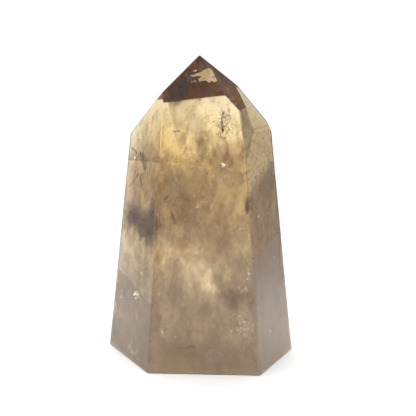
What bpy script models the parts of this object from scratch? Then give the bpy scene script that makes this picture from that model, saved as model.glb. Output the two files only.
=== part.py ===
"""Citrine generator: one quartz crystal, ground and polished as a six-sided point that stands on its base.

The crystal is a block that is ground down facet by facet. A facet is a plane given by its azimuth
(the compass direction that it faces: 0 is the front, -Y, and 90 is the right, +X) and by its slope
(90 is a wall, 0 is a floor). The prism faces lean inward as they rise, and the pyramid's faces meet
at the tip. The origin is the middle of the base, and +Z is up.
"""

from math import cos, radians, sin

import bmesh
import bpy
from mathutils import Matrix, Vector

OBJECT_NAME = "citrine_generator"
CRYSTAL_NAME = "citrine_crystal"

# Whole crystal
HEIGHT = 0.095
TIP_FORWARD = 0.00929
BLOCK_WIDTH = 0.090

# Prism faces: azimuth and slope in degrees, and the distance from the middle at the foot
FRONT_AZIMUTH = -3.0
FRONT_SLOPE = 83.25
FRONT_FOOT = 0.02423
LEFT_AZIMUTH = -60.1
LEFT_SLOPE = 83.5
LEFT_FOOT = 0.02555
RIGHT_AZIMUTH = 62.3
RIGHT_SLOPE = 83.65
RIGHT_FOOT = 0.02789
BACK_LEFT_AZIMUTH = -115.6
BACK_LEFT_SLOPE = 85.05
BACK_LEFT_FOOT = 0.02569
BACK_RIGHT_AZIMUTH = 113.5
BACK_RIGHT_SLOPE = 85.55
BACK_RIGHT_FOOT = 0.02465
BACK_AZIMUTH = 169.5
BACK_SLOPE = 78.0
BACK_FOOT = 0.02189

# Pyramid faces, which pass through the tip, but for the back one that stands a little behind it
TIP_FRONT_AZIMUTH = -5.2
TIP_FRONT_SLOPE = 67.0
TIP_FRONT_RIGHT_AZIMUTH = 52.8
TIP_FRONT_RIGHT_SLOPE = 49.6
TIP_LEFT_AZIMUTH = -107.8
TIP_LEFT_SLOPE = 48.25
TIP_BACK_AZIMUTH = 169.5
TIP_BACK_SLOPE = 65.5
TIP_BACK_STANDOFF = 0.0015
TIP_BACK_RIGHT_AZIMUTH = 148.0

# Small facets: three at the right shoulder, a kite beside the front face, and one at the left corner
SHOULDER_HEIGHT = 0.0718
SHOULDER_UPPER_AZIMUTH = 79.1
SHOULDER_UPPER_SLOPE = 56.5
SHOULDER_LOWER_AZIMUTH = 62.9
KITE_AZIMUTH = 56.0
KITE_SLOPE = 78.85
KITE_FOOT = 0.03421
WEAR_AZIMUTH = 94.1
WEAR_SLOPE = 65.85
WEAR_DEPTH = 0.0005
CORNER_AZIMUTH = -61.7
CORNER_SLOPE = 76.2
CORNER_FOOT = 0.03625

# Polished edges: the widest rounding, and the share of it on the crisp edges and on the foot
EDGE_ROUNDING = 0.0010
CRISP_SHARE = 0.45
FOOT_SHARE = 0.7
EDGE_SEGMENTS = 3
ON_PLANE = 0.00002
NEAR_SHOULDER = 0.004

CITRINE_COLOUR = (0.80, 0.58, 0.30, 1.0)
CITRINE_ROUGHNESS = 0.04
QUARTZ_IOR = 1.544


def level_direction(azimuth):
    """Unit vector in the ground plane towards this azimuth."""
    turn = radians(azimuth)
    return Vector((sin(turn), -cos(turn), 0.0))


def facet_at(point, azimuth, slope):
    """A facet through a point: that point and the facet's outward direction."""
    lean = radians(slope)
    outward = level_direction(azimuth) * sin(lean) + Vector((0.0, 0.0, cos(lean)))
    return point, outward


def facet_from_foot(azimuth, slope, foot):
    """A facet that crosses the base plane at the distance foot from the middle."""
    return facet_at(level_direction(azimuth) * foot, azimuth, slope)


def facet_through(upper, lower, azimuth):
    """The facet of this azimuth that passes through two points."""
    level = level_direction(azimuth)
    edge = upper - lower
    rise = Vector((0.0, 0.0, -level.dot(edge) / edge.z))
    return upper, (level + rise).normalized()


def moved_out(facet, distance):
    """The same facet, moved outward (or inward where the distance is negative)."""
    point, outward = facet
    return point + outward * distance, outward


def meeting_point(*facets):
    """The point that three facets share."""
    outward = Matrix([direction for _, direction in facets])
    offsets = Vector([point.dot(direction) for point, direction in facets])
    return outward.inverted() @ offsets


def crystal_facets():
    """All the planes that the block is ground to, and the place of the right shoulder."""
    tip = Vector((0.0, -TIP_FORWARD, HEIGHT))
    right = facet_from_foot(RIGHT_AZIMUTH, RIGHT_SLOPE, RIGHT_FOOT)
    back_right = facet_from_foot(BACK_RIGHT_AZIMUTH, BACK_RIGHT_SLOPE, BACK_RIGHT_FOOT)
    prism = [
        facet_from_foot(FRONT_AZIMUTH, FRONT_SLOPE, FRONT_FOOT),
        facet_from_foot(LEFT_AZIMUTH, LEFT_SLOPE, LEFT_FOOT),
        facet_from_foot(BACK_LEFT_AZIMUTH, BACK_LEFT_SLOPE, BACK_LEFT_FOOT),
        facet_from_foot(BACK_AZIMUTH, BACK_SLOPE, BACK_FOOT),
        right,
        back_right,
    ]

    shoulder_level = (Vector((0.0, 0.0, SHOULDER_HEIGHT)), Vector((0.0, 0.0, 1.0)))
    shoulder = meeting_point(right, back_right, shoulder_level)
    tip_front_right = facet_at(tip, TIP_FRONT_RIGHT_AZIMUTH, TIP_FRONT_RIGHT_SLOPE)
    pyramid = [
        facet_at(tip, TIP_FRONT_AZIMUTH, TIP_FRONT_SLOPE),
        tip_front_right,
        facet_at(tip, TIP_LEFT_AZIMUTH, TIP_LEFT_SLOPE),
        moved_out(facet_at(tip, TIP_BACK_AZIMUTH, TIP_BACK_SLOPE), TIP_BACK_STANDOFF),
        facet_through(tip, shoulder, TIP_BACK_RIGHT_AZIMUTH),
    ]

    kite = facet_from_foot(KITE_AZIMUTH, KITE_SLOPE, KITE_FOOT)
    corner = facet_from_foot(CORNER_AZIMUTH, CORNER_SLOPE, CORNER_FOOT)
    shoulder_upper = facet_at(shoulder, SHOULDER_UPPER_AZIMUTH, SHOULDER_UPPER_SLOPE)
    kite_top = meeting_point(tip_front_right, kite, shoulder_upper)
    shoulder_lower = facet_through(kite_top, shoulder, SHOULDER_LOWER_AZIMUTH)
    worn = moved_out(facet_at(shoulder, WEAR_AZIMUTH, WEAR_SLOPE), -WEAR_DEPTH)
    small = [kite, corner, shoulder_upper, shoulder_lower, worn]
    return prism + pyramid + small, shoulder


def grind(shape, point, outward):
    """Cut everything beyond a plane off the shape, and close the cut with one flat face."""
    everything = shape.verts[:] + shape.edges[:] + shape.faces[:]
    cut = bmesh.ops.bisect_plane(
        shape,
        geom=everything,
        dist=ON_PLANE,
        plane_co=point,
        plane_no=outward,
        clear_outer=True,
    )
    rim = [item for item in cut["geom_cut"] if isinstance(item, bmesh.types.BMEdge)]
    open_rim = [edge for edge in rim if edge.is_boundary]
    bmesh.ops.contextual_create(shape, geom=open_rim)
    bmesh.ops.recalc_face_normals(shape, faces=shape.faces)


def mark_edge_rounding(shape, shoulder):
    """Set how much each edge is rounded: most at the right shoulder, some at the foot, little elsewhere."""
    weight = shape.edges.layers.float.new("bevel_weight_edge")
    for edge in shape.edges:
        at_foot = max(vert.co.z for vert in edge.verts) < ON_PLANE
        farthest = max((vert.co - shoulder).length for vert in edge.verts)
        if farthest < NEAR_SHOULDER:
            edge[weight] = 1.0
        elif at_foot:
            edge[weight] = FOOT_SHARE
        else:
            edge[weight] = CRISP_SHARE


def citrine_material():
    """Clear golden quartz."""
    material = bpy.data.materials.new("citrine")
    material.use_nodes = True
    shader = material.node_tree.nodes["Principled BSDF"]
    shader.inputs["Base Color"].default_value = CITRINE_COLOUR
    shader.inputs["Roughness"].default_value = CITRINE_ROUGHNESS
    shader.inputs["Metallic"].default_value = 0.0
    shader.inputs["IOR"].default_value = QUARTZ_IOR
    shader.inputs["Transmission Weight"].default_value = 1.0
    return material


def make_crystal(collection):
    """The whole point as one solid: a block ground to its facets, with polished edges."""
    shape = bmesh.new()
    bmesh.ops.create_cube(shape, size=BLOCK_WIDTH)
    bmesh.ops.scale(shape, vec=(1.0, 1.0, 2.0 * HEIGHT / BLOCK_WIDTH), verts=shape.verts)
    bmesh.ops.translate(shape, vec=(0.0, 0.0, HEIGHT), verts=shape.verts)
    facets, shoulder = crystal_facets()
    for point, outward in facets:
        grind(shape, point, outward)
    mark_edge_rounding(shape, shoulder)

    mesh = bpy.data.meshes.new(CRYSTAL_NAME)
    shape.to_mesh(mesh)
    shape.free()
    mesh.materials.append(citrine_material())
    mesh.shade_smooth()
    crystal = bpy.data.objects.new(CRYSTAL_NAME, mesh)
    collection.objects.link(crystal)

    rounding = crystal.modifiers.new("Polished edges", "BEVEL")
    rounding.limit_method = "WEIGHT"
    rounding.offset_type = "WIDTH"
    rounding.width = EDGE_ROUNDING
    rounding.segments = EDGE_SEGMENTS
    rounding.use_clamp_overlap = True
    rounding.harden_normals = True
    return crystal


def main():
    for old in list(bpy.data.objects):
        bpy.data.objects.remove(old, do_unlink=True)
    collection = bpy.data.collections.new(OBJECT_NAME)
    bpy.context.scene.collection.children.link(collection)
    make_crystal(collection)


main()
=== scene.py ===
"""Citrine generator: the looks of the crystal, its veils and fractures, and a pale studio around it."""

from functools import cache
from math import radians
from random import Random

import bmesh
import bpy
from mathutils import Matrix, Vector, noise


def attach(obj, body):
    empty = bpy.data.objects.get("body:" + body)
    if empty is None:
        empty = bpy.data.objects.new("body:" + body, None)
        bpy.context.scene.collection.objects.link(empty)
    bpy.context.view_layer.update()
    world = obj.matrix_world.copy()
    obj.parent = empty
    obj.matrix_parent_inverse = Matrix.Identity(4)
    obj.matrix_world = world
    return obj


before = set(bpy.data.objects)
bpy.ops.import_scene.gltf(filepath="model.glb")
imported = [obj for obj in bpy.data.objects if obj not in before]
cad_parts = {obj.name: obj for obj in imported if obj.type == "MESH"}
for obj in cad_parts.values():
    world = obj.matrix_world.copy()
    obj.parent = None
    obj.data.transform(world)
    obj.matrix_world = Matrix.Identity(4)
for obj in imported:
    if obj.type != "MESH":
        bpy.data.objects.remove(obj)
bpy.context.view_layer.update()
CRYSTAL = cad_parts["citrine_crystal"]

# A ramp is given as two levels and, where they aren't 0 and 1, the values at those levels.
# Densities and noise scales are per metre. Colours are red, green and blue.
MM = 0.001

# Camera: the photograph is a square of 416 pixels
CAMERA_PLACE = (0.002465, -0.385448, 0.163149)
CAMERA_PITCH = 17.0
PHOTO_SIDE = 416
FOCAL_PIXELS = 1300.0
SENSOR = 36.0
NEAREST_SEEN = 0.01

# Floor: painted light, its brightness by the distance from the middle, and what is left of it towards its
# sides
FLOOR_SIZE = 8.0
FLOOR_HEIGHT = -0.00005
FLOOR_ROUGHNESS = 0.9
FLOOR_PAINTED_LIGHT_BY_REACH = (0.05, 0.17, 0.95, 0.70)
FLOOR_PAINTED_LIGHT_BY_SIDE = (0.07, 0.13, 1.0, 0.62)
PAINTED_LIGHT_SIDE_SLANT = -0.16

# Studio light from all around: its level, what it gains upward and backward, and its dimmer patches
LIGHT_LEVEL = 1.00
LIGHT_UPWARD = 1.10
LIGHT_BACKWARD = 0.45
LIGHT_LEAST = 0.1
LIGHT_COLOUR = (1.0, 1.0, 1.0)
DIM_PATCHES = (
    ((0.75, 0.35, 0.55), (0.8, 0.8, 0.8), 1.0),
    ((-0.1, -0.85, 0.5), (0.9, 0.9, 0.9), 0.6),
    ((0.49, 0.87, 0.05), (0.5, 0.5, 0.35), 0.9),
)
PATCH_MIDDLE = 0.25

# Facets: the smallest one that counts, when two face the same way, and the directions that some face
LEAST_FACET = 2.0e-6
SAME_WAY = 0.9999
LEFT_FACE = (-0.862, -0.495, 0.113)
BACK_LEFT_FACE = (-0.899, 0.431, 0.086)
FRONT_FACE = (-0.052, -0.992, 0.118)
RIGHT_FACE = (0.880, -0.462, 0.110)
KITE_FACE = (0.814, -0.548, 0.193)
SHOULDER_UPPER = (0.819, -0.157, 0.552)
SHOULDER_LOWER = (0.866, -0.444, 0.229)

# Polished quartz: smears in its gloss, the ground base by height, fine waves, and painted shade along one
# edge, the left silhouette
QUARTZ_IOR = 1.544
QUARTZ_TINT = (0.92, 0.79, 0.48)
QUARTZ_TINT_DENSITY = 40.0
SMEAR_SCALE = 70.0
SMEAR_ROUGHNESS = (0.35, 0.75, 0.0, 0.03)
BASE_ROUGHNESS = (0.0002, 0.0006, 0.6, 0.0)
WAVE_SCALE = 160.0
WAVE_STRENGTH = 0.006
WAVE_HEIGHT = 0.0002
EDGE_SHADE_REACH = (0.00040, 0.00080)
EDGE_SHADE_COLOURS = ((0.13, 0.09, 0.07), (1.0, 1.0, 1.0))

# What hangs inside starts at least this far below the facets; films keep a little more
SKIN = 0.0004
FILM_SKINS = 1.2
ON_PLANE = 1e-7

# Clouds: how they are stirred, and the densities of milk, smoke and gold by height or by noise
CLOUD_BLOCK = 0.2
STIR_SCALE = 110.0
STIR_REACH = 0.012
WISP_SCALE = 85.0
WISP_LEVELS = (0.40, 0.68)
WISP_SHARE = 2.0
EVEN_SHARE = 0.35
MILK_BY_HEIGHT = (0.012, 0.070, 34.0, 2.0)
MILK_COLOUR = (0.92, 0.89, 0.89)
MILK_FORWARD = 0.4
SMOKE_SCALE = 60.0
SMOKE_LAYER = 4.0
SMOKE_BY_NOISE = (0.40, 0.70, 4.0, 34.0)
SMOKE_BY_HEIGHT = (0.054, 0.076, 1.0, 0.1)
SMOKE_COLOUR = (0.28, 0.13, 0.14)
GOLD_BY_HEIGHT = (0.020, 0.066, 0.0, 44.0)
GOLD_COLOUR = (0.94, 0.76, 0.22)

# Denser and thinner places in the clouds: a centre and radii in millimetres, and the density there
MILK_PATCHES = (
    ((18.7, -9.3, 18.6), (12.0, 14.0, 24.0), 60.0),
    ((-15.0, -8.0, 18.0), (16.0, 14.0, 20.0), 30.0),
    ((-3.7, -8.0, 28.5), (3.6, 17.0, 4.4), -75.0),
    ((2.7, -8.0, 27.5), (3.2, 17.0, 4.0), -60.0),
    ((3.6, -9.0, 22.0), (4.6, 17.0, 4.4), -50.0),
)
SMOKE_PATCHES = (
    ((-16.0, -7.5, 42.5), (6.0, 5.0, 5.0), 120.0),
    ((0.0, -4.0, 27.0), (12.0, 18.0, 10.0), -30.0),
    ((9.0, -12.0, 20.5), (6.0, 8.0, 7.0), 60.0),
    ((19.0, -2.0, 57.0), (4.0, 5.0, 8.0), 150.0),
    ((-6.2, -8.0, 83.5), (3.0, 5.0, 4.0), 200.0),
    ((0.0, -6.0, 88.0), (14.0, 12.0, 9.0), 75.0),
    ((0.0, -10.0, 0.0), (30.0, 30.0, 10.0), 25.0),
    ((8.0, -4.0, 63.0), (12.0, 14.0, 5.0), 50.0),
    ((0.0, 8.0, 48.0), (28.0, 16.0, 20.0), 38.0),
    ((-18.0, 2.0, 52.0), (8.0, 10.0, 12.0), 45.0),
    ((2.0, -2.0, 37.0), (12.0, 14.0, 6.0), 22.0),
)
GOLD_PATCHES = (
    ((-14.0, -4.0, 70.0), (9.0, 12.0, 10.0), 26.0),
    ((-16.0, -6.0, 32.0), (8.0, 12.0, 16.0), 14.0),
)

# Films: the torn rim, the corners and waves of a rippled film, and the grid of a sheet below a facet
TEAR_SCALE = 500.0
RIM_START = 0.10
FILM_GRID = 20
FILM_WAVES = 3.0
FILM_SEED_STEP = 5.7
SHEET_GRID = 90
SHEET_SIZE = 0.06
SHEET_MIDDLE = (0.0, 0.0, 0.05)
SHEET_CLEARANCE = 0.9
LEFT_TURN = -60.0
LEFT_LEAN = 6.5
TIP_LEAN = 23.0

# Flakes: how far outside a facet they are dropped, their depths in skins, sizes, facing and outline
FLAKE_SPREAD = 0.5
FLAKE_OUTSIDE = 0.003
FLAKE_LEAST_DEPTH = 1.5
FLAKE_DEPTHS = (1.3, 1.8)
FLAKE_SIZES = (0.4, 1.4)
FLAKE_WIDTHS = (0.35, 1.0)
FLAKE_SCATTER = 0.12
FLAKE_OUTWARD = 0.7
FLAKE_LEAN = (0.0, -0.36, 0.31)
FLAKE_OUTLINE = ((1.0, 0.1), (0.2, 0.8), (-0.8, 0.5), (-0.6, -0.6), (0.4, -0.9))

# Looks of the films: two colours that mingle, how much they cover, the scale of their grain in x, y and z,
# and the levels between which that grain closes. Tones are the scale and levels of the mingling.
FILM_LOOKS = {
    "pale_frost": dict(
        colours=((1.0, 0.90, 0.66), (1.0, 0.97, 0.88)), roughness=0.4, cover=0.9,
        grain=(1500.0, 1500.0, 900.0), levels=(0.48, 0.58),
    ),
    # Painted light: cream for the brightest strips of light through the top of the stone
    "painted_light_cream": dict(
        colours=((1.0, 0.86, 0.55), (1.0, 0.94, 0.74)), roughness=0.5, cover=0.62,
        grain=(700.0, 700.0, 300.0), levels=(0.25, 0.60), ragged=0.5, fade=0.9,
    ),
    # Painted light: bright gold for a window where light shows through the tip
    "painted_light_window": dict(
        colours=((0.95, 0.66, 0.30), (1.0, 0.88, 0.58)), roughness=0.4, cover=0.97,
        grain=(900.0, 900.0, 900.0), levels=(0.28, 0.42), ragged=0.9,
    ),
    # Painted light: gold for the bright light seen through the right face, over its own speckle
    "speckled_painted_light_gold": dict(
        colours=((0.70, 0.49, 0.23), (1.0, 0.80, 0.42)), roughness=0.4, cover=0.92,
        grain=(500.0, 500.0, 300.0), levels=(0.0, 0.40), tones=(900.0, 0.36, 0.60),
    ),
    # Painted light: bright gold for the light seen through the shoulder facets
    "painted_light_gold": dict(
        colours=((1.0, 0.68, 0.33), (1.0, 0.88, 0.54)), roughness=0.4, cover=0.96,
        grain=(500.0, 500.0, 300.0), levels=(0.02, 0.35), tones=(800.0, 0.30, 0.60),
    ),
    # Partly milky haze, partly painted reflection of the grey surroundings
    "haze_and_painted_reflection": dict(
        colours=((0.47, 0.35, 0.27), (0.55, 0.42, 0.33)), roughness=0.7, cover=0.60,
        grain=(120.0, 120.0, 120.0), levels=(0.0, 0.45), ragged=0.2,
    ),
    "drift_film": dict(
        colours=((0.50, 0.41, 0.30), (0.72, 0.61, 0.47)), roughness=0.7, cover=0.42,
        grain=(260.0, 260.0, 140.0), levels=(0.25, 0.65), fade=0.6, tones=(220.0, 0.36, 0.64),
    ),
    "murky_film": dict(
        colours=((0.52, 0.38, 0.22), (0.80, 0.61, 0.38)), roughness=0.6, cover=0.80,
        grain=(300.0, 300.0, 200.0), levels=(0.10, 0.50), tones=(500.0, 0.38, 0.62),
    ),
    "purple_film": dict(
        colours=((0.14, 0.06, 0.025), (0.24, 0.12, 0.06)), roughness=0.6, cover=1.0,
        grain=(400.0, 400.0, 300.0), levels=(0.05, 0.50), fade=0.95,
    ),
    "haze_film": dict(
        colours=((0.16, 0.09, 0.06), (0.26, 0.16, 0.11)), roughness=0.6, cover=0.50,
        grain=(300.0, 300.0, 200.0), levels=(0.15, 0.60), ragged=0.4, fade=0.95,
    ),
    # Painted shade: tan for the shadowed image of a back edge seen through the stone
    "painted_shade_tan": dict(
        colours=((0.66, 0.44, 0.27), (0.72, 0.50, 0.32)), roughness=0.6, cover=0.34,
        grain=(200.0, 200.0, 80.0), levels=(0.15, 0.55), ragged=0.3,
    ),
    # Painted shade: darker olive for the shaded floor seen through the right face
    "painted_shade_olive": dict(
        colours=((0.46, 0.30, 0.13), (0.62, 0.44, 0.22)), roughness=0.6, cover=0.70,
        grain=(260.0, 260.0, 200.0), levels=(0.20, 0.60), ragged=0.4,
    ),
    "soft_olive_film": dict(
        colours=((0.52, 0.35, 0.13), (0.74, 0.53, 0.25)), roughness=0.6, cover=0.60,
        grain=(250.0, 250.0, 120.0), levels=(0.20, 0.65), ragged=0.4, fade=0.8,
    ),
    "mauve_film": dict(
        colours=((0.27, 0.165, 0.098), (0.36, 0.228, 0.148)), roughness=0.7, cover=0.55,
        grain=(200.0, 200.0, 200.0), levels=(0.10, 0.50), ragged=0.4,
    ),
    "dark_fracture": dict(
        colours=((0.03, 0.02, 0.02), (0.22, 0.14, 0.08)), roughness=0.3, cover=0.95,
        grain=(1400.0, 1400.0, 500.0), levels=(0.40, 0.54),
    ),
    "crack": dict(
        colours=((0.05, 0.03, 0.02), (0.20, 0.13, 0.08)), roughness=0.3, cover=0.60,
        grain=(900.0, 900.0, 500.0), levels=(0.20, 0.45), ragged=0.3,
    ),
    "faint_crack": dict(
        colours=((0.10, 0.06, 0.04), (0.24, 0.16, 0.10)), roughness=0.3, cover=0.45,
        grain=(900.0, 900.0, 500.0), levels=(0.20, 0.55), ragged=0.3,
    ),
    "smoky_film": dict(
        colours=((0.05, 0.03, 0.025), (0.12, 0.07, 0.06)), roughness=0.6, cover=0.88,
        grain=(400.0, 400.0, 300.0), levels=(0.15, 0.55), ragged=0.4, fade=0.75,
    ),
    "veil": dict(
        colours=((0.40, 0.25, 0.14), (0.55, 0.37, 0.22)), roughness=0.7, cover=0.36,
        grain=(330.0, 330.0, 190.0), levels=(0.44, 0.64), ragged=0.0,
    ),
    "glint": dict(
        colours=((1.0, 0.97, 0.90), (1.0, 1.0, 1.0)), roughness=0.18, cover=1.0,
        grain=(300.0, 300.0, 300.0), levels=(0.0, 0.1), ragged=0.0, metallic=1.0,
    ),
    "dark_speck": dict(
        colours=((0.05, 0.03, 0.02), (0.12, 0.08, 0.05)), roughness=0.4, cover=0.9,
        grain=(300.0, 300.0, 300.0), levels=(0.0, 0.1), ragged=0.0,
    ),
}


def opaque(colour):
    """A colour with full cover."""
    return (*colour, 1.0)


def new_material(name):
    """An empty node material: its node tree and its output."""
    material = bpy.data.materials.new(name)
    material.use_nodes = True
    tree = material.node_tree
    tree.nodes.clear()
    output = tree.nodes.new("ShaderNodeOutputMaterial")
    return material, tree, output


def add(tree, kind, inputs=None, **settings):
    """A node with its settings and its input values or links."""
    node = tree.nodes.new(kind)
    for name, value in settings.items():
        setattr(node, name, value)
    for name, value in (inputs or {}).items():
        if isinstance(value, bpy.types.NodeSocket):
            tree.links.new(value, node.inputs[name])
        else:
            node.inputs[name].default_value = value
    return node


def calc(tree, operation, *values):
    """One arithmetic node's result."""
    return add(tree, "ShaderNodeMath", dict(enumerate(values)), operation=operation).outputs["Value"]


def vector_calc(tree, operation, *values):
    """One vector arithmetic node's result, which is a number for a length."""
    node = add(tree, "ShaderNodeVectorMath", dict(enumerate(values)), operation=operation)
    return node.outputs["Value" if operation == "LENGTH" else "Vector"]


def ramp(tree, value, low, high, start=0.0, end=1.0, curve="SMOOTHSTEP"):
    """A value that turns from start to end between two levels."""
    node = add(tree, "ShaderNodeMapRange", {
        "Value": value, "From Min": low, "From Max": high, "To Min": start, "To Max": end,
    }, interpolation_type=curve)
    return node.outputs["Result"]


def here(tree):
    """The place in the object, in metres."""
    return add(tree, "ShaderNodeTexCoord").outputs["Object"]


def cloudy(tree, place, scale, detail, roughness=0.5):
    """A noise of this scale round each place."""
    return add(tree, "ShaderNodeTexNoise", {
        "Vector": place, "Scale": scale, "Detail": detail, "Roughness": roughness,
    })


def patch(tree, place, centre, radii, strength):
    """A soft patch round a point: full in its middle, nothing beyond its radii."""
    offset = vector_calc(tree, "SUBTRACT", place, centre)
    scaled = vector_calc(tree, "MULTIPLY", offset, [1.0 / radius for radius in radii])
    return ramp(tree, vector_calc(tree, "LENGTH", scaled), PATCH_MIDDLE, 1.0, strength, 0.0)


def with_patches(tree, density, place, patches):
    """A density with its denser and thinner patches, never less than nothing."""
    for centre, radii, strength in patches:
        spot = patch(tree, place, Vector(centre) * MM, Vector(radii) * MM, strength)
        density = calc(tree, "ADD", density, spot)
    return calc(tree, "MAXIMUM", density, 0.0)


def blend_colours(tree, share, colours):
    """Two colours mixed by a share that varies from place to place."""
    node = add(tree, "ShaderNodeMix", {"Factor": share}, data_type="RGBA")
    sockets = [socket for socket in node.inputs if socket.type == "RGBA"]
    for socket, colour in zip(sockets, colours):
        socket.default_value = opaque(colour)
    return next(socket for socket in node.outputs if socket.type == "RGBA")


def set_surface(tree, output, inputs):
    """The material's surface, from values or links."""
    shader = add(tree, "ShaderNodeBsdfPrincipled", inputs)
    tree.links.new(shader.outputs["BSDF"], output.inputs["Surface"])


def make_camera():
    """The viewpoint of the photograph."""
    data = bpy.data.cameras.new("photo_camera")
    data.sensor_width = SENSOR
    data.lens = FOCAL_PIXELS / PHOTO_SIDE * SENSOR
    data.clip_start = NEAREST_SEEN
    camera = bpy.data.objects.new("photo_camera", data)
    camera.location = CAMERA_PLACE
    camera.rotation_euler = (radians(90.0 - CAMERA_PITCH), 0.0, 0.0)
    bpy.context.scene.collection.objects.link(camera)
    bpy.context.scene.camera = camera


def floor_material():
    """A pale matt floor with painted light in its colour: a little darker away from the stone and towards
    the sides.
    """
    material, tree, output = new_material("studio_floor")
    place = here(tree)
    # Painted light: the floor's colour fades with the distance from the stone and towards the sides, like
    # light falling off
    painted_light_by_reach = ramp(tree, vector_calc(tree, "LENGTH", place), *FLOOR_PAINTED_LIGHT_BY_REACH)
    split = add(tree, "ShaderNodeSeparateXYZ", {"Vector": place}).outputs
    side = calc(tree, "MULTIPLY_ADD", split["Y"], PAINTED_LIGHT_SIDE_SLANT, calc(tree, "ABSOLUTE", split["X"]))
    tone = calc(tree, "MULTIPLY", painted_light_by_reach, ramp(tree, side, *FLOOR_PAINTED_LIGHT_BY_SIDE))
    shade = add(tree, "ShaderNodeCombineColor", {"Red": tone, "Green": tone, "Blue": tone})
    set_surface(tree, output, {"Base Color": shade.outputs["Color"], "Roughness": FLOOR_ROUGHNESS})
    return material


def make_floor():
    """The floor that the stone stands on."""
    bpy.ops.mesh.primitive_plane_add(size=FLOOR_SIZE, location=(0.0, 0.0, FLOOR_HEIGHT))
    floor = bpy.context.active_object
    floor.name = "studio_floor"
    floor.data.materials.append(floor_material())


def make_world():
    """Soft light from all around, brightest above and behind, with three dimmer patches."""
    world = bpy.data.worlds.new("studio")
    bpy.context.scene.world = world
    world.use_nodes = True
    tree = world.node_tree
    tree.nodes.clear()
    output = tree.nodes.new("ShaderNodeOutputWorld")
    direction = add(tree, "ShaderNodeTexCoord").outputs["Generated"]
    split = add(tree, "ShaderNodeSeparateXYZ", {"Vector": direction}).outputs
    upward = calc(tree, "MULTIPLY_ADD", split["Z"], LIGHT_UPWARD, LIGHT_LEVEL)
    level = calc(tree, "MULTIPLY_ADD", split["Y"], LIGHT_BACKWARD, upward)
    dimmed = 0.0
    for centre, radii, strength in DIM_PATCHES:
        dimmed = calc(tree, "ADD", dimmed, patch(tree, direction, centre, radii, strength))
    light = calc(tree, "MAXIMUM", calc(tree, "SUBTRACT", level, dimmed), LIGHT_LEAST)
    background = add(tree, "ShaderNodeBackground", {"Color": opaque(LIGHT_COLOUR), "Strength": light})
    tree.links.new(background.outputs["Background"], output.inputs["Surface"])


def crystal_planes():
    """The crystal's flat facets, each as a point on it and its outward direction."""
    found = []
    for face in CRYSTAL.data.polygons:
        if face.area > LEAST_FACET:
            known = any(face.normal.dot(outward) > SAME_WAY for _, outward in found)
            if not known:
                found.append((face.center.copy(), face.normal.copy()))
    return found


def facet_towards(direction):
    """The facet that faces a direction."""
    return max(crystal_planes(), key=lambda facet: facet[1].dot(Vector(direction)))


def edge_line(first, second):
    """The edge that two facets share, as a point on it and its direction."""
    place_a, outward_a = facet_towards(first)
    place_b, outward_b = facet_towards(second)
    along = outward_a.cross(outward_b).normalized()
    rows = Matrix((outward_a, outward_b, along))
    point = rows.inverted() @ Vector((place_a.dot(outward_a), place_b.dot(outward_b), 0.0))
    return point, along


def crystal_material():
    """Polished quartz: clear and golden, with smears, fine waves, a ground base and painted shade
    darkening one edge.
    """
    material, tree, output = new_material("citrine")
    place = here(tree)
    height = add(tree, "ShaderNodeSeparateXYZ", {"Vector": place}).outputs["Z"]
    smears = cloudy(tree, place, SMEAR_SCALE, 4.0).outputs["Fac"]
    gloss = ramp(tree, smears, *SMEAR_ROUGHNESS, curve="LINEAR")
    ground = ramp(tree, height, *BASE_ROUGHNESS, curve="LINEAR")
    waves = cloudy(tree, place, WAVE_SCALE, 2.0).outputs["Fac"]
    bump = add(tree, "ShaderNodeBump", {
        "Height": waves, "Strength": WAVE_STRENGTH, "Distance": WAVE_HEIGHT,
    })
    # Painted shade: the colour turns dark along the edge between the left and back-left faces, which is
    # the left silhouette
    corner, along = edge_line(LEFT_FACE, BACK_LEFT_FACE)
    across = vector_calc(tree, "CROSS_PRODUCT", vector_calc(tree, "SUBTRACT", place, corner), along)
    apart = vector_calc(tree, "LENGTH", across)
    set_surface(tree, output, {
        "Base Color": blend_colours(tree, ramp(tree, apart, *EDGE_SHADE_REACH), EDGE_SHADE_COLOURS),
        "Roughness": calc(tree, "ADD", gloss, ground),
        "IOR": QUARTZ_IOR,
        "Transmission Weight": 1.0,
        "Normal": bump.outputs["Normal"],
    })
    absorb = add(tree, "ShaderNodeVolumeAbsorption", {
        "Color": opaque(QUARTZ_TINT), "Density": QUARTZ_TINT_DENSITY,
    })
    tree.links.new(absorb.outputs["Volume"], output.inputs["Volume"])
    return material


def cut(shape, point, outward, close):
    """Take away what lies beyond a plane, and close the cut where the shape is solid."""
    everything = shape.verts[:] + shape.edges[:] + shape.faces[:]
    result = bmesh.ops.bisect_plane(
        shape, geom=everything, dist=ON_PLANE, plane_co=point, plane_no=outward, clear_outer=True,
    )
    if close:
        edges = [item for item in result["geom_cut"] if isinstance(item, bmesh.types.BMEdge)]
        bmesh.ops.contextual_create(shape, geom=[edge for edge in edges if edge.is_boundary])


def piece(name, shape, material):
    """A finished inner piece from its mesh, which rides on the crystal."""
    mesh = bpy.data.meshes.new(name)
    shape.to_mesh(mesh)
    shape.free()
    mesh.materials.append(material)
    made = bpy.data.objects.new(name, mesh)
    bpy.context.scene.collection.objects.link(made)
    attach(made, "root")
    return made


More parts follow.
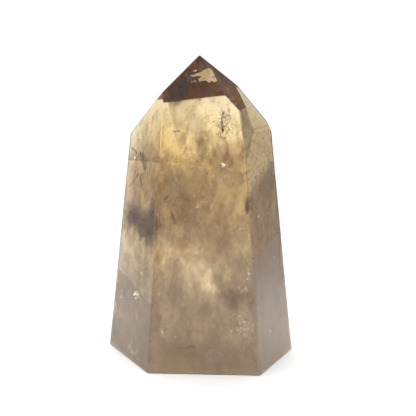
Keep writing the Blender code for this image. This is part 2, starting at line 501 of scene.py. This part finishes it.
def cloud_material():
    """Milky and smoky clouds that hang in the quartz, denser towards the foot, and a golden upper part."""
    material, tree, output = new_material("milky_clouds")
    set_surface(tree, output, {"Base Color": (0.9, 0.8, 0.7, 1.0), "Alpha": 0.0})

    place = here(tree)
    stir = cloudy(tree, place, STIR_SCALE, 2.0).outputs["Color"]
    centred = vector_calc(tree, "SUBTRACT", stir, (0.5, 0.5, 0.5))
    pull = vector_calc(tree, "MULTIPLY", centred, (STIR_REACH, STIR_REACH, STIR_REACH))
    stirred = vector_calc(tree, "ADD", place, pull)
    height = add(tree, "ShaderNodeSeparateXYZ", {"Vector": stirred}).outputs["Z"]

    swirl = cloudy(tree, stirred, WISP_SCALE, 4.0, 0.6).outputs["Fac"]
    wisps = calc(tree, "MULTIPLY_ADD", ramp(tree, swirl, *WISP_LEVELS), WISP_SHARE, EVEN_SHARE)
    milk = calc(tree, "MULTIPLY", ramp(tree, height, *MILK_BY_HEIGHT), wisps)
    scatter = add(tree, "ShaderNodeVolumeScatter", {
        "Color": opaque(MILK_COLOUR),
        "Density": with_patches(tree, milk, stirred, MILK_PATCHES),
        "Anisotropy": MILK_FORWARD,
    })

    drift = add(tree, "ShaderNodeTexNoise", {
        "Vector": stirred, "Scale": SMOKE_SCALE, "Detail": 4.0, "Roughness": 0.6, "W": SMOKE_LAYER,
    }, noise_dimensions="4D").outputs["Fac"]
    by_height = ramp(tree, height, *SMOKE_BY_HEIGHT)
    smoke = calc(tree, "MULTIPLY", ramp(tree, drift, *SMOKE_BY_NOISE), by_height)
    grey = add(tree, "ShaderNodeVolumeAbsorption", {
        "Color": opaque(SMOKE_COLOUR), "Density": with_patches(tree, smoke, stirred, SMOKE_PATCHES),
    })

    zone = ramp(tree, height, *GOLD_BY_HEIGHT)
    gold = add(tree, "ShaderNodeVolumeAbsorption", {
        "Color": opaque(GOLD_COLOUR), "Density": with_patches(tree, zone, stirred, GOLD_PATCHES),
    })
    tint = add(tree, "ShaderNodeAddShader", {0: grey.outputs["Volume"], 1: gold.outputs["Volume"]})
    both = add(tree, "ShaderNodeAddShader", {0: scatter.outputs["Volume"], 1: tint.outputs["Shader"]})
    tree.links.new(both.outputs["Shader"], output.inputs["Volume"])
    return material


def make_clouds():
    """The space inside the crystal, a hair below its facets, that the clouds fill."""
    shape = bmesh.new()
    bmesh.ops.create_cube(shape, size=CLOUD_BLOCK)
    for point, outward in crystal_planes():
        cut(shape, point - outward * SKIN, outward, True)
    bmesh.ops.recalc_face_normals(shape, faces=shape.faces)
    piece("milky_clouds", shape, cloud_material())


def mingling_film(
    name, colours, roughness, cover, grain, levels,
    ragged=0.6, fade=0.40, tones=(300.0, 0.30, 0.70), metallic=0.0,
):
    """Two colours that mingle, a ragged rim, and a grain of gaps where the quartz shows through."""
    material, tree, output = new_material(name)
    place = here(tree)
    body = add(tree, "ShaderNodeAttribute", attribute_name="cover").outputs["Fac"]
    tears = calc(tree, "SUBTRACT", cloudy(tree, place, TEAR_SCALE, 4.0).outputs["Fac"], 0.5)
    inside = ramp(tree, calc(tree, "MULTIPLY_ADD", tears, ragged, body), min(RIM_START, fade), fade)
    flecks = cloudy(tree, vector_calc(tree, "MULTIPLY", place, grain), 1.0, 5.0, 0.6).outputs["Fac"]
    closed = calc(tree, "MULTIPLY", ramp(tree, flecks, *levels), inside)
    tone_scale, *tone_levels = tones
    shades = cloudy(tree, place, tone_scale, 4.0).outputs["Fac"]
    set_surface(tree, output, {
        "Base Color": blend_colours(tree, ramp(tree, shades, *tone_levels), colours),
        "Roughness": roughness,
        "Metallic": metallic,
        "Alpha": calc(tree, "MULTIPLY", closed, cover),
    })
    return material


@cache
def film_material(look):
    """The material of a film's look, made once."""
    return mingling_film(look, **FILM_LOOKS[look])


def film_turn(turn, lean, roll):
    """The turn of a film: about the upright, back from the upright, and in its own plane, in degrees."""
    about = Matrix.Rotation(radians(turn), 3, "Z")
    back = Matrix.Rotation(radians(-lean), 3, "X")
    own = Matrix.Rotation(radians(roll), 3, "Y")
    return about @ back @ own


def trim(shape):
    """Trim an open sheet a hair below the facets."""
    for point, outward in crystal_planes():
        cut(shape, point - outward * FILM_SKINS * SKIN, outward, False)


def new_film_shape():
    """An empty mesh, and the share of its cover at each of its points."""
    shape = bmesh.new()
    return shape, shape.verts.layers.float.new("cover")


def film(name, look, centre, size, turn=0.0, lean=10.0, roll=0.0, ripple=0.4, seed=0):
    """A rippled film that thins out towards its rim, in millimetres and degrees."""
    shape, cover = new_film_shape()
    bmesh.ops.create_grid(shape, x_segments=FILM_GRID, y_segments=FILM_GRID, size=0.5)
    width, height = size
    placed = film_turn(turn, lean, roll)
    for vert in shape.verts:
        spot = Vector((FILM_WAVES * vert.co.x, FILM_WAVES * vert.co.y, FILM_SEED_STEP * seed))
        wave = noise.noise(spot)
        vert[cover] = max(0.0, 1.0 - 2.0 * vert.co.length)
        local = Vector((vert.co.x * width, ripple * wave, vert.co.y * height))
        vert.co = (Vector(centre) + placed @ local) * MM
    trim(shape)
    piece(name, shape, film_material(look))


def shard(name, look, outline, rim=0.5):
    """A flat film with its own outline, in millimetres. It thins out over the rim's width."""
    shape, cover = new_film_shape()
    corners = [shape.verts.new(Vector(corner) * MM) for corner in outline]
    face = shape.faces.new(corners)
    bmesh.ops.inset_individual(shape, faces=[face], thickness=rim * MM, use_even_offset=False)
    for vert in shape.verts:
        vert[cover] = 0.0 if vert in corners else 1.0
    bmesh.ops.triangulate(shape, faces=shape.faces)
    trim(shape)
    piece(name, shape, film_material(look))


def sheet(name, look, direction, depth, limits=()):
    """A film at one depth below a facet, out to its edges, in millimetres.

    A limit is a place, the way out from it, and the width over which the film thins out there.
    """
    point, outward = facet_towards(direction)
    shape, cover = new_film_shape()
    bmesh.ops.create_grid(shape, x_segments=SHEET_GRID, y_segments=SHEET_GRID, size=SHEET_SIZE)
    middle = Vector(SHEET_MIDDLE)
    middle -= outward * ((middle - point).dot(outward) + depth * MM)
    turn = outward.to_track_quat("Z", "Y").to_matrix()
    for vert in shape.verts:
        vert.co = middle + turn @ vert.co
    bounds = [(Vector(place) * MM, Vector(away).normalized(), rim * MM) for place, away, rim in limits]
    for place, away, _ in bounds:
        cut(shape, place, away, False)
    for vert in shape.verts:
        vert[cover] = min([1.0] + [(place - vert.co).dot(away) / rim for place, away, rim in bounds])
    for place, away in crystal_planes():
        if away.dot(outward) < SAME_WAY:
            cut(shape, place - away * SHEET_CLEARANCE * depth * MM, away, False)
    piece(name, shape, film_material(look))


def flakes(name, look, clusters, seed, shallow=False):
    """Tiny flakes in clusters: each has a centre, a reach and a size in millimetres, and a count.

    Shallow ones all lie just below the facet that is nearest, and the others wherever they fall inside.
    """
    chance = Random(seed)
    shape, cover = new_film_shape()
    planes = crystal_planes()
    for centre, reach, size, count in clusters:
        for _ in range(count):
            spot = [chance.gauss(at, FLAKE_SPREAD * spread) for at, spread in zip(centre, reach)]
            middle = Vector(spot) * MM
            point, outward = max(planes, key=lambda facet: (middle - facet[0]).dot(facet[1]))
            gap = (middle - point).dot(outward)
            if gap > FLAKE_OUTSIDE:
                continue
            if shallow or gap > -FLAKE_LEAST_DEPTH * SKIN:
                middle -= outward * (gap + chance.uniform(*FLAKE_DEPTHS) * SKIN)
            wide = size * chance.uniform(*FLAKE_SIZES) * MM
            scatter = Vector([chance.gauss(0.0, FLAKE_SCATTER) for _ in range(3)])
            facing = (FLAKE_OUTWARD * outward + Vector(FLAKE_LEAN)).normalized() + scatter
            across = facing.cross(Vector([chance.uniform(-1.0, 1.0) for _ in range(3)])).normalized()
            along = facing.cross(across).normalized() * chance.uniform(*FLAKE_WIDTHS)
            outline = [0.5 * wide * (across * x + along * y) for x, y in FLAKE_OUTLINE]
            corners = [shape.verts.new(middle + corner) for corner in outline]
            for corner in corners:
                corner[cover] = 1.0
            shape.faces.new(corners)
    piece(name, shape, film_material(look))


def make_veils():
    """Three mottled veils that cross the whole stone."""
    whole = (140.0, 240.0)
    film("veil_near", "veil", (0.0, -13.0, 45.0), whole, turn=-6.0, lean=8.0, ripple=5.0, seed=31)
    film("veil_middle", "veil", (0.0, -6.0, 45.0), whole, turn=9.0, lean=14.0, ripple=8.0, seed=32)
    film("veil_far", "veil", (0.0, 4.0, 45.0), whole, turn=-14.0, ripple=8.0, seed=33)


def make_tip_window():
    """The golden window in the tip and its finger, painted light that shows through the tip, with its dark
    rim and the dark blotch beside it.
    """
    # Painted light: bright golden films where light shows through the dark tip
    shard("tip_window_painted_light", "painted_light_window", (
        (0.7, -10.3, 90.3), (2.5, -10.2, 91.0), (3.3, -9.6, 90.4), (4.9, -11.7, 87.4),
        (4.2, -11.9, 87.2), (3.7, -11.6, 87.7), (2.8, -11.9, 87.0), (1.9, -11.5, 87.7),
        (-0.1, -11.4, 87.4), (-0.4, -11.1, 88.1), (0.5, -11.0, 88.6),
    ), rim=0.25)
    shard("tip_finger_painted_light", "painted_light_window", (
        (-2.9, -10.5, 89.0), (-0.4, -10.4, 89.7), (1.0, -10.4, 90.1), (0.7, -10.9, 88.8),
        (-0.7, -10.8, 88.9), (-1.9, -10.8, 88.6),
    ), rim=0.15)
    film(
        "window_dark", "dark_fracture", (0.0, -10.8, 88.4), (9.0, 4.4),
        lean=TIP_LEAN, roll=-10.0, ripple=0.2, seed=2,
    )
    film("tip_blotch", "smoky_film", (-6.2, -11.8, 84.2), (7.0, 12.5), lean=TIP_LEAN, roll=25.0, seed=3)


def make_facet_sheets():
    """What shows below the shoulder facets, the right face, the kite and the front face, with painted
    light and painted shade among it.
    """
    # Painted light: nearly opaque golden films under the shoulder facets and the top of the right face
    # stand in for bright light seen through them
    sheet("shoulder_upper_painted_light", "painted_light_gold", SHOULDER_UPPER, 0.8)
    sheet("shoulder_lower_painted_light", "painted_light_gold", SHOULDER_LOWER, 0.8)
    sheet("right_painted_light", "speckled_painted_light_gold", RIGHT_FACE, 0.8, (
        ((19.0, -6.0, 55.0), (0.0, 0.35, -1.0), 16.0),
    ))
    # Painted shade: the darker olive zone of the right face, above the line where the light's path through
    # the stone changes
    sheet("right_painted_shade", "painted_shade_olive", RIGHT_FACE, 1.1, (
        ((19.0, -6.0, 72.0), (0.0, 0.0, 1.0), 12.0),
        ((16.2, -19.1, 35.6), (0.0, 0.20, -1.0), 0.5),
    ))
    # The lower zone of the right face: partly milky haze, partly painted reflection of the grey
    # surroundings
    sheet("right_haze_and_painted_reflection", "haze_and_painted_reflection", RIGHT_FACE, 1.0, (
        ((16.2, -19.1, 35.6), (0.0, -0.20, 1.0), 0.5),
    ))
    sheet("kite_murk", "murky_film", KITE_FACE, 0.9)
    sheet("front_haze", "drift_film", FRONT_FACE, 2.4, (
        ((-3.0, -15.8, 62.9), (0.11, 0.0, 1.0), 0.5),
        ((0.0, -18.0, 34.0), (0.0, 0.0, -1.0), 20.0),
    ))


def make_left_face():
    """The tan and mauve zones of the left face, the line between them, and its fracture."""
    film(
        "left_tan", "soft_olive_film", (-15.0, -10.0, 60.0), (15.0, 32.0),
        turn=LEFT_TURN, lean=LEFT_LEAN, roll=8.0, seed=40,
    )
    sheet("left_mauve", "mauve_film", LEFT_FACE, 1.0, (
        ((-25.0, -0.3, 27.0), (0.0, -0.246, 1.0), 5.0),
    ))
    shard("left_line", "faint_crack", (
        (-25.0, -0.2, 27.5), (-22.0, -5.8, 25.9), (-19.0, -11.2, 23.9), (-22.1, -5.5, 25.5),
    ), rim=0.05)
    shard("left_fracture_top", "dark_fracture", (
        (-20.6, 0.7, 64.9), (-19.7, -0.8, 64.6), (-18.4, -3.4, 63.5), (-19.4, -1.7, 63.4),
        (-20.4, 0.2, 64.0),
    ), rim=0.1)
    shard("left_fracture", "dark_fracture", (
        (-17.9, -4.1, 64.4), (-16.7, -6.0, 64.6), (-15.8, -8.0, 63.4), (-14.8, -10.3, 61.0),
        (-14.7, -10.8, 59.9), (-15.6, -8.9, 60.9), (-16.1, -8.4, 59.2), (-17.1, -6.3, 60.8),
        (-17.7, -4.7, 62.9),
    ), rim=0.3)
    shard("left_sliver", "dark_fracture", (
        (-17.9, -5.4, 58.4), (-17.4, -6.6, 56.8), (-17.0, -8.0, 54.4), (-17.4, -7.1, 54.5),
        (-17.9, -5.9, 56.0),
    ), rim=0.1)
    shard("left_thin_line", "crack", (
        (-21.5, -0.5, 52.6), (-18.3, -4.9, 57.9), (-18.1, -5.2, 57.6), (-21.4, -0.8, 52.3),
    ), rim=0.05)


def make_upper_front():
    """The tan wedge of painted shade and the cream strips of painted light high in the front face, and the
    fracture column at its right.
    """
    # Painted shade: a tan wedge for the shadowed image of a back edge seen through the stone
    shard("painted_shade_wedge", "painted_shade_tan", (
        (-9.2, -11.2, 81.1), (0.2, -11.5, 82.4), (-2.5, -12.2, 75.6), (-3.7, -12.7, 70.3),
        (-5.7, -13.0, 67.0), (-6.9, -12.6, 70.3), (-8.3, -11.7, 76.7),
    ), rim=0.6)
    # Painted light: cream films for the brightest strips of light through the top of the front face
    film("painted_light_strip", "painted_light_cream", (-9.6, -14.3, 75.7), (4.0, 17.0), turn=3.0, roll=-2.0, seed=9)
    film("painted_light_middle", "painted_light_cream", (-2.0, -14.2, 77.2), (4.5, 15.0), roll=6.0, seed=10)
    film(
        "fracture_column_dark", "dark_fracture", (6.9, -11.2, 75.2), (1.7, 9.5),
        turn=20.0, roll=6.0, seed=6,
    )
    film(
        "fracture_column_pale", "pale_frost", (7.2, -9.8, 74.2), (5.2, 16.5),
        turn=10.0, roll=8.0, seed=7,
    )
    film("dark_plume", "haze_film", (0.2, -12.6, 68.7), (4.5, 16.0), turn=15.0, seed=11)


def make_smoke():
    """The purple-brown smoke below the left face, and dark smoke near the kite."""
    for name, centre, size, roll, seed in (
        ("purple_left", (-20.0, -4.6, 44.0), (22.0, 14.0), -22.0, 41),
        ("purple_middle", (-16.4, -10.8, 42.4), (20.0, 17.0), 0.0, 42),
        ("purple_right", (-14.0, -15.2, 44.6), (11.0, 24.0), 4.0, 43),
        ("purple_deep", (-14.0, -15.0, 45.6), (7.0, 19.0), 2.0, 44),
    ):
        film(name, "purple_film", centre, size, turn=LEFT_TURN, lean=LEFT_LEAN, roll=roll, seed=seed)
    film("right_dark", "smoky_film", (20.2, -3.6, 57.4), (6.0, 13.0), turn=62.0, seed=15)
    film("dark_streak", "smoky_film", (14.2, -16.0, 50.8), (2.4, 9.5), roll=5.0, seed=16)


def make_cracks():
    """Thin cracks and dashes in the front face and low in the left face."""
    shard("front_crack", "crack", (
        (-8.6, -16.4, 50.1), (-8.0, -16.5, 48.9), (-6.9, -17.0, 45.6), (-7.3, -17.0, 45.6),
        (-8.5, -16.6, 48.0),
    ), rim=0.1)
    shard("front_dash", "crack", (
        (-10.8, -15.9, 52.9), (-9.2, -15.8, 54.3), (-9.1, -15.9, 53.8), (-10.5, -16.0, 52.5),
    ), rim=0.1)
    shard("front_scratch", "crack", (
        (-8.1, -14.2, 73.2), (-5.7, -14.2, 73.6), (-5.6, -14.3, 73.2), (-7.9, -14.2, 72.8),
    ), rim=0.05)
    shard("front_short_dash", "crack", (
        (-0.1, -14.4, 66.1), (1.6, -14.6, 65.4), (1.6, -14.6, 65.0), (-0.1, -14.5, 65.7),
    ), rim=0.05)
    shard("low_dash", "crack", (
        (-5.1, -21.1, 7.8), (-2.3, -21.2, 8.6), (-0.2, -21.3, 8.2), (-2.3, -21.2, 7.9),
        (-4.8, -21.2, 7.3),
    ), rim=0.1)
    shard("left_arc", "crack", (
        (-24.9, -3.9, 10.4), (-24.1, -5.3, 10.8), (-23.0, -7.2, 10.5), (-23.7, -6.0, 10.4),
        (-24.8, -4.2, 10.0),
    ), rim=0.05)


def make_foot():
    """Pale wedges low in the left face, and the pale and dark spots of the milky foot."""
    for name, outline in (
        ("wedge_upper", (
            (-21.1, -11.5, 6.0), (-20.1, -13.3, 6.1), (-21.7, -11.3, 2.9), (-22.7, -9.5, 2.8),
        )),
        ("wedge_lower", (
            (-21.7, -11.3, 2.9), (-20.6, -12.7, 4.5), (-19.9, -14.6, 1.6), (-21.0, -12.8, 1.5),
        )),
        ("wedge_side", (
            (-19.6, -14.8, 3.4), (-18.2, -16.6, 5.8), (-18.6, -16.4, 4.1), (-19.3, -15.5, 2.7),
        )),
    ):
        shard(name, "pale_frost", outline, rim=0.2)
    film("white_dash", "pale_frost", (13.2, -17.7, 44.7), (5.0, 1.8), roll=-20.0, seed=18)
    film("dark_patch_low", "haze_film", (9.4, -19.6, 22.5), (9.0, 17.0), roll=-25.0, seed=22)
    film("foot_cloud", "drift_film", (3.7, -21.9, 5.2), (8.0, 7.0), seed=23)
    film("web", "pale_frost", (13.0, -20.6, 14.0), (6.0, 7.0), roll=-20.0, seed=24)
    film("right_pale_spot", "pale_frost", (20.8, -15.6, 10.5), (2.0, 3.0), turn=62.0, seed=25)


def make_flakes():
    """Glints in clusters and all through the stone, and dark specks."""
    flakes("glints", "glint", (
        ((-19.3, -11.8, 21.0), (0.7, 1.4, 1.1), 0.6, 26),
        ((-24.5, -3.8, 16.6), (0.8, 1.4, 1.6), 0.4, 14),
        ((9.2, -15.7, 71.0), (1.2, 0.8, 1.2), 0.45, 12),
        ((6.6, -14.9, 76.8), (0.9, 0.8, 4.0), 0.4, 16),
        ((6.9, -16.5, 63.6), (0.6, 0.5, 0.7), 0.6, 6),
        ((-3.0, -15.6, 67.0), (0.3, 0.3, 0.4), 0.6, 4),
        ((-19.5, -2.2, 61.9), (0.5, 0.6, 0.6), 0.5, 6),
        ((4.4, -22.2, 14.7), (0.3, 0.3, 0.3), 0.7, 3),
        ((-11.4, -21.5, 13.2), (0.8, 0.6, 1.4), 0.45, 10),
        ((14.0, -22.7, 14.9), (3.2, 0.8, 3.0), 0.4, 30),
        ((14.4, -20.7, 31.7), (0.6, 0.4, 1.8), 0.4, 10),
        ((13.2, -21.2, 26.2), (1.4, 0.4, 1.0), 0.4, 10),
        ((-1.6, -12.0, 91.0), (0.6, 0.2, 0.3), 0.4, 5),
    ), 5, shallow=True)
    flakes("scattered_glints", "glint", (((0.0, -15.0, 42.0), (26.0, 12.0, 50.0), 0.45, 260),), 6)
    flakes("dark_specks", "dark_speck", (
        ((0.0, -15.0, 52.0), (26.0, 12.0, 50.0), 0.45, 200),
        ((6.8, -14.4, 75.5), (2.0, 1.2, 5.0), 0.35, 26),
        ((9.5, -14.6, 74.0), (3.0, 1.2, 5.0), 0.35, 26),
        ((-9.6, -13.9, 75.0), (1.2, 0.8, 6.0), 0.35, 14),
        ((-18.0, -5.0, 68.0), (3.0, 3.0, 4.0), 0.35, 24),
        ((21.0, -4.0, 66.0), (1.5, 4.0, 6.0), 0.35, 24),
    ), 8)


def set_render_depth():
    """How often light may bend, pass and scatter inside the stone."""
    scene = bpy.context.scene
    scene.view_settings.view_transform = "Standard"
    scene.cycles.max_bounces = 32
    scene.cycles.transmission_bounces = 24
    scene.cycles.transparent_max_bounces = 48
    scene.cycles.volume_bounces = 8
    scene.cycles.volume_step_rate = 0.5


make_camera()
make_floor()
make_world()
set_render_depth()
CRYSTAL.material_slots[0].material = crystal_material()
make_clouds()
make_veils()
make_tip_window()
make_facet_sheets()
make_left_face()
make_upper_front()
make_smoke()
make_cracks()
make_foot()
make_flakes()
